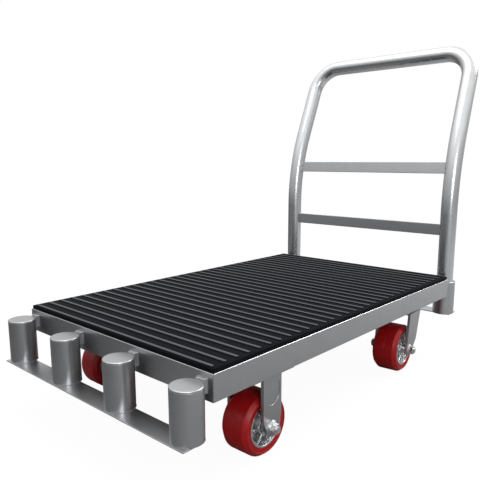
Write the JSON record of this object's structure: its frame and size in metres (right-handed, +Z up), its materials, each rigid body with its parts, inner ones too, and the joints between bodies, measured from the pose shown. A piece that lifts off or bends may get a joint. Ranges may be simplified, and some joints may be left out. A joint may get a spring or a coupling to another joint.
{
  "type": "platform cart",
  "caption": "Platform cart with a ribbed deck, stake sockets along both ends, a lift-out push handle, two rigid casters and two swivel casters.",
  "frame": {"origin": "on the floor, under the middle of the whole object's length and width", "axes": "+X along the deck towards the push handle, +Y to the left, +Z up"},
  "size_m": [1.5329, 0.775, 1.1346],
  "materials": {
    "frame_paint": "semi-gloss grey enamel",
    "board": "plain plywood",
    "mat_rubber": "moulded, satin",
    "handle_steel": "bright polished tube",
    "bar_steel": "satin grey",
    "tread": "moulded elastomer, satin",
    "wheel_aluminium": "as cast, lightly machined",
    "bearing_steel": "ground",
    "caster_zinc": "zinc plated",
    "fastener_zinc": "bright zinc plated"
  },
  "bodies": {
    "frame": {"base_strip_front": "frame_paint", "base_strip_rear": "frame_paint", "caster_bolts": "fastener_zinc", "caster_channel_front": "frame_paint", "caster_channel_rear": "frame_paint", "caster_nuts": "fastener_zinc", "deck_board": "board", "end_rail_front": "frame_paint", "end_rail_rear": "frame_paint", "kingpins": "fastener_zinc", "lock_nuts": "fastener_zinc", "middle_cross_member": "frame_paint", "ribbed_mat": "mat_rubber", "rigid_axle_bolts": "fastener_zinc", "rigid_axle_nuts": "fastener_zinc", "rigid_bushings": "fastener_zinc", "rigid_fork_left": "caster_zinc", "rigid_fork_right": "caster_zinc", "side_rail_left": "frame_paint", "side_rail_right": "frame_paint", "socket_caps": "frame_paint", "socket_front_1": "frame_paint", "socket_front_2": "frame_paint", "socket_front_3": "frame_paint", "socket_front_4": "frame_paint", "socket_necks_front": "frame_paint", "socket_necks_rear": "frame_paint", "socket_rear_1": "frame_paint", "socket_rear_2": "frame_paint", "socket_rear_3": "frame_paint", "socket_rear_4": "frame_paint", "swivel_plate_left": "caster_zinc", "swivel_plate_right": "caster_zinc", "swivel_race_left": "caster_zinc", "swivel_race_right": "caster_zinc"},
    "handle": {"handle_crossbar_lower": "bar_steel", "handle_crossbar_upper": "bar_steel", "handle_tube": "handle_steel"},
    "lock_screw_left": {"lock_screw_left": "fastener_zinc"},
    "lock_screw_right": {"lock_screw_right": "fastener_zinc"},
    "swivel_left": {"swivel_axle_bolt_left": "fastener_zinc", "swivel_axle_nut_left": "fastener_zinc", "swivel_bushing_left": "fastener_zinc", "swivel_fork_left": "caster_zinc"},
    "swivel_right": {"swivel_axle_bolt_right": "fastener_zinc", "swivel_axle_nut_right": "fastener_zinc", "swivel_bushing_right": "fastener_zinc", "swivel_fork_right": "caster_zinc"},
    "wheel_rear_left": {"wheel_bearings_rear_left": "bearing_steel", "wheel_core_rear_left": "wheel_aluminium", "wheel_tread_rear_left": "tread"},
    "wheel_rear_right": {"wheel_bearings_rear_right": "bearing_steel", "wheel_core_rear_right": "wheel_aluminium", "wheel_tread_rear_right": "tread"},
    "wheel_front_left": {"wheel_bearings_front_left": "bearing_steel", "wheel_core_front_left": "wheel_aluminium", "wheel_tread_front_left": "tread"},
    "wheel_front_right": {"wheel_bearings_front_right": "bearing_steel", "wheel_core_front_right": "wheel_aluminium", "wheel_tread_front_right": "tread"}
  },
  "joints": [
    {"name": "handle_lift", "type": "slide", "parent": "frame", "child": "handle", "axis": [0, 0, 1], "range_m": [0, 0.121]},
    {"name": "lock_screw_left_travel", "type": "slide", "parent": "frame", "child": "lock_screw_left", "axis": [1, 0, 0], "range_m": [0, 0.0075]},
    {"name": "lock_screw_right_travel", "type": "slide", "parent": "frame", "child": "lock_screw_right", "axis": [1, 0, 0], "range_m": [0, 0.0075]},
    {"name": "caster_swivel_left", "type": "hinge", "parent": "frame", "child": "swivel_left", "pos_m": [0.30453, 0.3035, 0.15], "axis": [0, 0, 1], "continuous": true},
    {"name": "caster_swivel_right", "type": "hinge", "parent": "frame", "child": "swivel_right", "pos_m": [0.30453, -0.3035, 0.15], "axis": [0, 0, 1], "continuous": true},
    {"name": "wheel_spin_front_left", "type": "hinge", "parent": "swivel_left", "child": "wheel_front_left", "pos_m": [0.26462, 0.30615, 0.08], "axis": [0.0663, 0.9978, 0], "continuous": true},
    {"name": "wheel_spin_rear_left", "type": "hinge", "parent": "frame", "child": "wheel_rear_left", "pos_m": [-0.46897, 0.3095, 0.08], "axis": [0, 1, 0], "continuous": true},
    {"name": "wheel_spin_front_right", "type": "hinge", "parent": "swivel_right", "child": "wheel_front_right", "pos_m": [0.26462, -0.30615, 0.08], "axis": [-0.0663, 0.9978, 0], "continuous": true},
    {"name": "wheel_spin_rear_right", "type": "hinge", "parent": "frame", "child": "wheel_rear_right", "pos_m": [-0.46897, -0.3095, 0.08], "axis": [0, 1, 0], "continuous": true}
  ]
}
